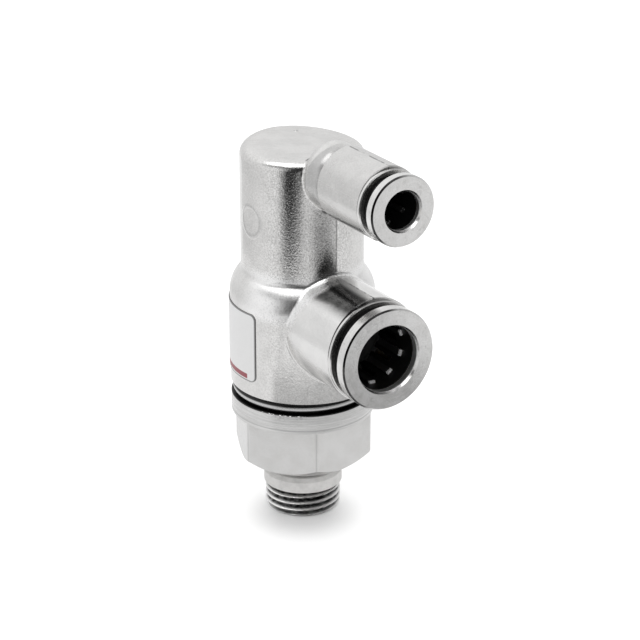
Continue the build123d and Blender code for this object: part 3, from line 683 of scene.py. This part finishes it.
finishes = {
    "plated_forging": platedForging(),
    "plated_turned": turnedNickel("turnedNickel", stemLines, stemSkin, stemWear),
    "collet_plastic": plainPlastic("colletPlastic", 0.006, 0.42, specular=0.2),
    "seal_rubber": rubberWithPaintedSheen(),
    "spacer_plastic": plainPlastic("spacerPlastic", 0.05, 0.35),
    "label_film": printedLabel(),
    "seal_ring_plastic": plainPlastic("sealRingPlastic", 0.74, 0.33, warmth=0.03),
    "spring_steel": drawnMetal("springSteel", grey(0.5), grey(0.4), 0.28),
    "bare_brass": drawnMetal("bareBrass", (0.62, 0.43, 0.19, 1.0), (0.5, 0.33, 0.14, 1.0), 0.28),
}
threadNickel = turnedNickel("threadNickel", stemLines, threadSkin, threadWear)
ownFinish = {}
for port, sizes in ports.items():
    ringNickel = turnedNickel(port + "RingNickel", portLines(sizes["axisZ"]), sizes, ringWear(sizes),
                              turning["portLineDepth"])
    ownFinish[port + "_release_ring"] = ringNickel
    ownFinish[port + "_cartridge_sleeve"] = ringNickel
    teethNode = port + "_collet_teeth"
    ownFinish[teethNode] = glintTippedSteel(port + "ToothSteel", teethNode, sizes["teethGlint"])

for part in frame["record"]["subparts"]:
    node = frame["nodes"][part["node"]]
    finish = ownFinish.get(part["node"]) or finishes[part["material_slot"]]
    node.data.materials.clear()
    node.data.materials.append(finish)
print("finishes:", len(bpy.data.materials))


def meshFromGrid(name, grid, closed=True):
    # grid is rows x columns x 3, in millimetres; quads join each row to the next and each column
    # to its neighbour, with the last column joined to the first
    rows, columns = grid.shape[:2]
    index = np.arange(rows * columns).reshape(rows, columns)
    right = np.roll(index, -1, axis=1)
    below = np.roll(index, -1, axis=0)
    corner = np.roll(right, -1, axis=0)
    quads = np.stack([index, right, corner, below], axis=-1)
    if not closed:
        quads = quads[:-1]
    mesh = bpy.data.meshes.new(name)
    mesh.from_pydata((grid.reshape(-1, 3) * mm).tolist(), [], quads.reshape(-1, 4).tolist())
    mesh.update()
    return mesh


def addPiece(name, mesh, body, finish):
    piece = bpy.data.objects.new(name, mesh)
    bpy.context.scene.collection.objects.link(piece)
    mesh.materials.clear()
    mesh.materials.append(finish)
    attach(piece, body)
    return piece


def sharpen(mesh, degrees):
    # every face is smooth, and edges that turn by more than the angle stay sharp
    limit = math.radians(degrees)
    work = bmesh.new()
    work.from_mesh(mesh)
    bmesh.ops.recalc_face_normals(work, faces=work.faces)
    for face in work.faces:
        face.smooth = True
    for edge in work.edges:
        edge.smooth = not (len(edge.link_faces) == 2 and edge.calc_face_angle(0.0) > limit)
    work.to_mesh(mesh)
    work.free()


def mergedCopy(node, name):
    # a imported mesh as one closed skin, with its places in millimetres as a whole array
    mesh = frame["nodes"][node].data.copy()
    mesh.name = name
    work = bmesh.new()
    work.from_mesh(mesh)
    bmesh.ops.remove_doubles(work, verts=work.verts, dist=0.0005 * mm)
    work.to_mesh(mesh)
    work.free()
    if mesh.has_custom_normals:
        mesh.attributes.remove(mesh.attributes["custom_normal"])
    places = np.empty(len(mesh.vertices) * 3)
    mesh.vertices.foreach_get("co", places)
    return mesh, places.reshape(-1, 3) / mm


thread = {
    "crest": 4.864,
    "depth": 0.581,
    "pitch": 0.907,
    "length": 3.6,
    "endChamfer": 0.45,
    "crispness": 0.94,      # 1 gives sharp crests and valleys
    "core": 4.20,           # what is left of the stem inside the thread
    "coreFoot": 0.02,
    "inner": 4.10,
    "around": 216,
    "along": 100,
}
brokenEdges = {"width": 0.07, "segments": 2, "angle": 24.0}


def threadSurface():
    # radius = crest - depth x (1 - w) / 2, where w is a rounded triangle wave: the arcsine of
    # crispness x sine, over its own peak, and the sine is taken of the turns, which are height over
    # pitch less one turn round the axis; the cone of the end chamfer cuts it off
    turn = np.linspace(0.0, 2 * np.pi, thread["around"], endpoint=False)
    height = np.linspace(0.0, thread["length"], thread["along"])
    rise, angle = np.meshgrid(height, turn, indexing="ij")
    phase = rise / thread["pitch"] - angle / (2 * np.pi)
    wave = np.arcsin(thread["crispness"] * np.sin(2 * np.pi * phase)) / np.arcsin(thread["crispness"])
    radius = thread["crest"] - thread["depth"] * (0.5 - 0.5 * wave)
    radius = np.minimum(radius, thread["crest"] - (thread["endChamfer"] - rise))
    outer = np.stack([radius * np.cos(angle), radius * np.sin(angle), rise], axis=-1)
    rim = np.stack([thread["inner"] * np.cos(turn), thread["inner"] * np.sin(turn)], axis=-1)
    top = np.dstack([rim[None, :, :], np.full((1, len(turn), 1), thread["length"])])
    bottom = np.dstack([rim[None, :, :], np.zeros((1, len(turn), 1))])
    mesh = meshFromGrid("pipeThread", np.concatenate([outer, top, bottom]))
    sharpen(mesh, 50)
    return mesh


def stemCopy():
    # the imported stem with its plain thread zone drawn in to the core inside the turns: the radius
    # becomes the smaller of itself and the core's
    mesh, places = mergedCopy("threaded_stem", "turnedStem")
    radius = np.hypot(places[:, 0], places[:, 1])
    low = (places[:, 2] < thread["length"] + 0.01) & (radius > thread["core"])
    shrink = np.where(low, thread["core"] / np.maximum(radius, 1.0), 1.0)
    places[:, :2] *= shrink[:, None]
    places[:, 2] = np.where(low, np.maximum(places[:, 2], thread["coreFoot"]), places[:, 2])
    mesh.vertices.foreach_set("co", (places * mm).ravel())
    sharpen(mesh, 22)
    return mesh


def ringCopy(name, node, port):
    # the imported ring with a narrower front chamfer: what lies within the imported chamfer's width of
    # the face moves outwards, and what lies within it of the outer radius moves to the front
    mesh, places = mergedCopy(node, name)
    face, outer, packed = port["face"], port["outer"], ringSkin["packedEdge"]
    drop = places[:, 2] - port["axisZ"]
    radius = np.hypot(places[:, 1], drop)
    step = packed - ringSkin["seenEdge"]
    onFace = (abs(places[:, 0] - face) < 0.01) & (abs(radius - (outer - packed)) < 0.02)
    onSide = (abs(radius - outer) < 0.02) & (abs(places[:, 0] - (face - packed)) < 0.02)
    grow = np.where(onFace, (radius + step) / radius, 1.0)
    places[:, 1] *= grow
    places[:, 2] = port["axisZ"] + drop * grow
    places[:, 0] += np.where(onSide, step, 0.0)
    mesh.vertices.foreach_set("co", (places * mm).ravel())
    sharpen(mesh, 22)
    return mesh


stem = addPiece("turnedStem", stemCopy(), "stem", finishes["plated_turned"])
pipeThread = addPiece("pipeThread", threadSurface(), "stem", threadNickel)
bevel = stem.modifiers.new("brokenEdges", "BEVEL")
bevel.width = brokenEdges["width"] * mm
bevel.segments = brokenEdges["segments"]
bevel.limit_method = "ANGLE"
bevel.angle_limit = math.radians(brokenEdges["angle"])
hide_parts("threaded_stem")
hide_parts("threaded_stem")
for port, sizes in ports.items():
    name, node = port + "ReleaseRing", port + "_release_ring"
    ring = addPiece(name, ringCopy(name, node, sizes), port + "_release", ownFinish[node])
    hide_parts(node)
print("stem, pipe thread and release rings made")


# each spring stands on its fixed end: node, body, joint and the
# height of that end
springs = {
    "pistonSpring": ("piston_spring", "body", "piston_stroke", 33.6),
    "poppetSpring": ("poppet_spring", "stem", "poppet_lift", 9.6),
}

for name, (node, body, joint, foot) in springs.items():
    mesh = mergedCopy(node, name)[0]
    sharpen(mesh, 40)
    spring = addPiece(name, mesh, body, finishes["spring_steel"])
    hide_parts(node)
    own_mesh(spring)
print("springs made")


def markSurface():
    # a ring-shaped patch wrapped on the tower: height over the tower's wall = rise x exp(-(d / width)^2),
    # where d is the distance from the ring's middle line, less a sliver so that its rims sink in
    across = np.linspace(forgeMark["inner"], forgeMark["outer"], forgeMark["across"])
    turn = np.linspace(0.0, 2 * np.pi, forgeMark["around"], endpoint=False)
    reach, angle = np.meshgrid(across, turn, indexing="ij")
    edge = (reach - forgeMark["inner"]) * (forgeMark["outer"] - reach)
    lift = forgeMark["rise"] * np.exp(-((reach - forgeMark["ring"]) / forgeMark["width"]) ** 2)
    lift = lift - forgeMark["sink"] * (1 - np.clip(edge / forgeMark["sinkWidth"], 0.0, 1.0))
    around = math.radians(forgeMark["bearing"]) + reach * np.cos(angle) / forgeMark["tower"]
    radius = forgeMark["tower"] + lift
    surface = np.stack([radius * np.cos(around), frontAxisY + radius * np.sin(around),
                        forgeMark["height"] + reach * np.sin(angle)], axis=-1)
    mesh = meshFromGrid("forgeMark", surface[::-1], closed=False)
    sharpen(mesh, 60)
    return mesh


addPiece("forgeMark", markSurface(), "body", finishes["plated_forging"])
print("forge mark made")


view = {
    "azimuth": 58.3,
    "elevation": 22.7,
    "distance": 275.0,      # millimetres from the aim point
    "frame": 640,           # pixels across
    "focal": 2157.0,        # in those pixels
    "sensor": 36.0,
    "aim": (0.0, 0.0, 19.4),
    "aimPixel": (302.6, 364.9),
    "clip": (0.005, 10.0),
}


def setCamera():
    a = math.radians(view["azimuth"])
    e = math.radians(view["elevation"])
    back = Vector((math.sin(a) * math.cos(e), -math.cos(a) * math.cos(e), math.sin(e)))
    right = Vector((math.cos(a), math.sin(a), 0.0))
    up = back.cross(right)
    perPixel = view["distance"] / view["focal"]
    place = Vector(view["aim"]) + back * view["distance"]
    place -= right * ((view["aimPixel"][0] - view["frame"] / 2) * perPixel)
    place += up * ((view["aimPixel"][1] - view["frame"] / 2) * perPixel)
    data = bpy.data.cameras.new("studioCamera")
    data.sensor_width = view["sensor"]
    data.lens = view["focal"] / view["frame"] * view["sensor"]
    data.clip_start, data.clip_end = view["clip"]
    camera = bpy.data.objects.new("studioCamera", data)
    turn = Matrix((right, up, back)).transposed().to_4x4()
    camera.matrix_world = Matrix.Translation(place * mm) @ turn
    bpy.context.scene.collection.objects.link(camera)
    bpy.context.scene.camera = camera


setCamera()


studio = {
    "world": 0.86,                  # brightness that lights what is matt
    "worldSeen": 1.0,               # and what the camera and the metal's reflections see
    "floorHalf": 2500.0,
    "floorColour": 0.85,
    "floorWhite": (0.12, 0.42),     # lifts the floor to white for the camera: at the foot, and beyond
    "liftFrom": (3.4, -2.1),        # the point just before the foot from where the lift grows
    "liftRadius": (2.0, 8.8),
    "floorShine": 0.13,             # lifts it for the metal's reflections
}


def stageMesh(name, points, faces, material):
    mesh = bpy.data.meshes.new(name)
    mesh.from_pydata((np.asarray(points) * mm).tolist(), [], faces)
    mesh.materials.append(material)
    thing = bpy.data.objects.new(name, mesh)
    bpy.context.scene.collection.objects.link(thing)
    return thing


def floorFinish():
    # diffuse floor that keeps the shadow, lifted to white for the camera and the reflections; the lift is
    # smaller near the foot, which adds a painted shadow just before it
    board = Board("studioFloor")
    camera = board.node("ShaderNodeLightPath", out="Is Camera Ray")
    outs = camera.socket.node.outputs
    mirrored = board.most(Wire(board, outs["Is Glossy Ray"]), Wire(board, outs["Is Transmission Ray"]))
    x, y, z = board.places()
    away = board.length(x - studio["liftFrom"][0], y - studio["liftFrom"][1])
    # painted shadow: less lift close to the point just before the foot
    lift = camera * board.ease(away, *studio["liftRadius"], *studio["floorWhite"])
    lift = lift + mirrored * studio["floorShine"]
    matt = board.node("ShaderNodeBsdfDiffuse", sockets={"Color": grey(studio["floorColour"])})
    glow = board.node("ShaderNodeEmission", sockets={"Strength": lift})
    both = board.node("ShaderNodeAddShader", sockets={0: matt, 1: glow})
    board.node("ShaderNodeOutputMaterial", sockets={"Surface": both})
    return board.material


half = studio["floorHalf"]
stageMesh("studioFloor", [(-half, -half, 0), (half, -half, 0), (half, half, 0), (-half, half, 0)],
          [(0, 1, 2, 3)], floorFinish())


def setWorld():
    # strength = world, or worldSeen for what the camera and the reflections see
    world = bpy.data.worlds.new("studioWorld")
    world.use_nodes = True
    tree = world.node_tree
    path = tree.nodes.new("ShaderNodeLightPath")
    seen = tree.nodes.new("ShaderNodeMath")
    seen.operation = "MAXIMUM"
    level = tree.nodes.new("ShaderNodeMath")
    level.operation = "MULTIPLY_ADD"
    level.inputs[1].default_value = studio["worldSeen"] - studio["world"]
    level.inputs[2].default_value = studio["world"]
    tree.links.new(path.outputs["Is Camera Ray"], seen.inputs[0])
    tree.links.new(path.outputs["Is Glossy Ray"], seen.inputs[1])
    tree.links.new(seen.outputs[0], level.inputs[0])
    tree.links.new(level.outputs[0], tree.nodes["Background"].inputs["Strength"])
    tree.nodes["Background"].inputs["Color"].default_value = grey(1.0)
    bpy.context.scene.world = world


setWorld()


# the softbox only shines in the metal, and the lamp behind only throws the floor's shadow forward
lamps = {
    "overheadSoftbox": {"bearing": -84.0, "elevation": 63.0, "away": 420.0, "wide": 420.0, "tall": 240.0,
                        "watts": 0.45, "seenBy": "metal"},
    "backLight": {"bearing": 148.0, "elevation": 66.0, "away": 450.0, "wide": 520.0, "tall": 520.0,
                  "watts": 0.42, "seenBy": "matt"},
}
lampAim = (0.0, 0.0, 25.0)


def addLamp(name, lamp):
    data = bpy.data.lights.new(name, "AREA")
    data.shape = "RECTANGLE"
    data.size = lamp["wide"] * mm
    data.size_y = lamp["tall"] * mm
    data.energy = lamp["watts"]
    b, e = math.radians(lamp["bearing"]), math.radians(lamp["elevation"])
    facing = Vector((math.cos(b) * math.cos(e), math.sin(b) * math.cos(e), math.sin(e)))
    thing = bpy.data.objects.new(name, data)
    thing.location = (Vector(lampAim) + facing * lamp["away"]) * mm
    thing.rotation_euler = facing.to_track_quat("Z", "Y").to_euler()
    thing.visible_diffuse = lamp["seenBy"] == "matt"
    thing.visible_glossy = lamp["seenBy"] == "metal"
    bpy.context.scene.collection.objects.link(thing)


for name, lamp in lamps.items():
    addLamp(name, lamp)


# dark flags beside the camera, which only the metal's reflections see: a low board on the floor and
# upright walls behind it, each with its brightness by bearing round the valve's axis
flags = {
    "near": 40.0,                   # radii of the floor board, and of the walls, in millimetres
    "far": 420.0,
    "steps": 95,
    "boardHeight": 0.4,
    "boardTurn": (-175.0, 130.0),
    "wallTurn": (-119.0, 130.0),
    "whole": (89.0, 98.0),          # radius where the board fades in on the left
    "reach": 30.0,                  # and how much nearer on the right
    "turnOver": (-44.0, -36.0),
    "shadeCover": 0.8,
    "rightCover": (50.0, 56.0),
    "horizonTurn": (131.0, 241.0),
    "horizon": (150.0, 300.0),      # heights between which the strip behind goes from dull to white
    "horizonTone": 0.85,
}
boardTones = [(-175, 0.79), (-140, 0.79), (-118, 0.86), (-86, 0.90), (-75, 0.84), (-70, 0.40),
              (-65, 0.10), (-62, 0.02), (-50, 0.02), (-45, 0.50), (-40, 0.74), (-21, 0.72),
              (-14, 0.57), (14, 0.57), (25.5, 0.50), (28.5, 0.90), (130, 0.88)]
# zones laid over the board's tones in turn: where each begins and ends by bearing and by radius
boardZones = {
    "light": {"bearing": ((15, 27), None), "radius": ((105, 125), None), "tone": 0.82},
    "dark": {"bearing": ((-71, -66), (-40, -34)), "radius": ((112, 120), None), "tone": 0.03},
    "patch": {"bearing": ((-19, -14), (7, 13)), "radius": (None, (103, 111)), "tone": 0.03},
    "right": {"bearing": ((8, 16), None), "radius": (None, (70, 76)), "tone": 0.40},
    "ringLight": {"bearing": ((12, 16), (22, 25)), "radius": ((76, 80), (86, 92)), "tone": 0.78},
    "pool": {"bearing": ((-86, -80), (-70, -64)), "radius": ((58, 64), (80, 88)), "tone": 1.0},
    "shade": {"bearing": ((-85, -72), None), "radius": (None, (54, 59)), "tone": 0.50},
}
# each wall: the heights of its foot and top, and its tones
walls = {
    "lowWallFlag": (0.4, 225.0, [(-119, 0.90), (-84, 1.0), (-68, 0.60), (-59, 0.03), (16, 0.04),
                                 (40, 0.28), (70, 0.50), (129, 1.0)]),
    "upperWallFlag": (225.0, 385.0, [(-119, 0.80), (-111, 0.62), (-98, 0.42), (-82, 0.27),
                                     (-68, 0.13), (-55, 0.04), (-20, 0.04), (16, 0.05),
                                     (40, 0.28), (70, 0.50), (129, 1.0)]),
    "highWallFlag": (385.0, 640.0, [(-119, 0.90), (-84, 1.0), (-63, 1.0), (-46, 0.55), (-30, 0.05),
                                    (16, 0.04), (40, 0.28), (70, 0.50), (129, 1.0)]),
}


def toneByBearing(board, bearing, tones):
    start, stop = tones[0][0], tones[-1][0]
    stops = [((place - start) / (stop - start), grey(level)) for place, level in tones]
    return board.node("ShaderNodeValToRGB", {"stops": stops}, {"Fac": (bearing - start) / (stop - start)})


def zoneMask(board, bearing, radius, zone):
    mask = 1.0
    for value, (rise, fall) in ((bearing, zone["bearing"]), (radius, zone["radius"])):
        if rise:
            mask = board.ease(value, *rise) * mask
        if fall:
            mask = board.fade(value, *fall) * mask
    return mask


def wallFinish(name, tones):
    board = Board(name)
    x, y, z = board.places()
    tone = toneByBearing(board, board.bearing(x, y), tones)
    glow = board.node("ShaderNodeEmission", sockets={"Color": tone})
    board.node("ShaderNodeOutputMaterial", sockets={"Surface": glow})
    return board.material


def horizonFinish():
    board = Board("horizonFlag")
    x, y, z = board.places()
    tone = board.blendColours(board.ease(z, *flags["horizon"]), grey(flags["horizonTone"]), grey(1.0))
    glow = board.node("ShaderNodeEmission", sockets={"Color": tone})
    board.node("ShaderNodeOutputMaterial", sockets={"Surface": glow})
    return board.material


def boardFinish():
    # the floor shows through where the board's cover is less than 1
    board = Board("floorFlag")
    x, y, z = board.places()
    bearing = board.bearing(x, y)
    radius = board.length(x, y)
    tone = toneByBearing(board, bearing, boardTones)
    masks = {}
    for name, zone in boardZones.items():
        masks[name] = zoneMask(board, bearing, radius, zone)
        tone = board.blendColours(masks[name], tone, grey(zone["tone"]))
    cover = board.ease(radius + board.ease(bearing, *flags["turnOver"]) * flags["reach"], *flags["whole"])
    cover = board.most(board.most(cover, masks["shade"] * flags["shadeCover"]), masks["pool"])
    cover = board.most(cover, masks["right"] * board.ease(radius, *flags["rightCover"]))
    glow = board.node("ShaderNodeEmission", sockets={"Color": tone})
    clear = board.node("ShaderNodeBsdfTransparent")
    mixed = board.node("ShaderNodeMixShader", sockets={0: cover, 1: clear, 2: glow})
    board.node("ShaderNodeOutputMaterial", sockets={"Surface": mixed})
    return board.material


def addFlag(name, inner, outer, turn, finish):
    # quads between two arcs about the axis, each given as (radius, height)
    steps = flags["steps"]
    angle = np.radians(np.linspace(*turn, steps + 1))
    arcs = [np.stack([radius * np.cos(angle), radius * np.sin(angle), 0 * angle + height], axis=-1)
            for radius, height in (inner, outer)]
    faces = [(k, k + 1, steps + k + 2, steps + k + 1) for k in range(steps)]
    flag = stageMesh(name, np.concatenate(arcs), faces, finish)
    flag.visible_camera = False
    flag.visible_diffuse = False
    flag.visible_shadow = False
    flag.visible_transmission = False
    flag.visible_volume_scatter = False


near, far, low = flags["near"], flags["far"], flags["boardHeight"]
addFlag("floorFlag", (near, low), (far, low), flags["boardTurn"], boardFinish())
for name, (foot, top, tones) in walls.items():
    addFlag(name, (far, foot), (far, top), flags["wallTurn"], wallFinish(name, tones))
addFlag("horizonFlag", (far, low), (far, flags["horizon"][1]), flags["horizonTurn"], horizonFinish())
print("studio set")

bpy.context.scene.view_settings.view_transform = "Standard"
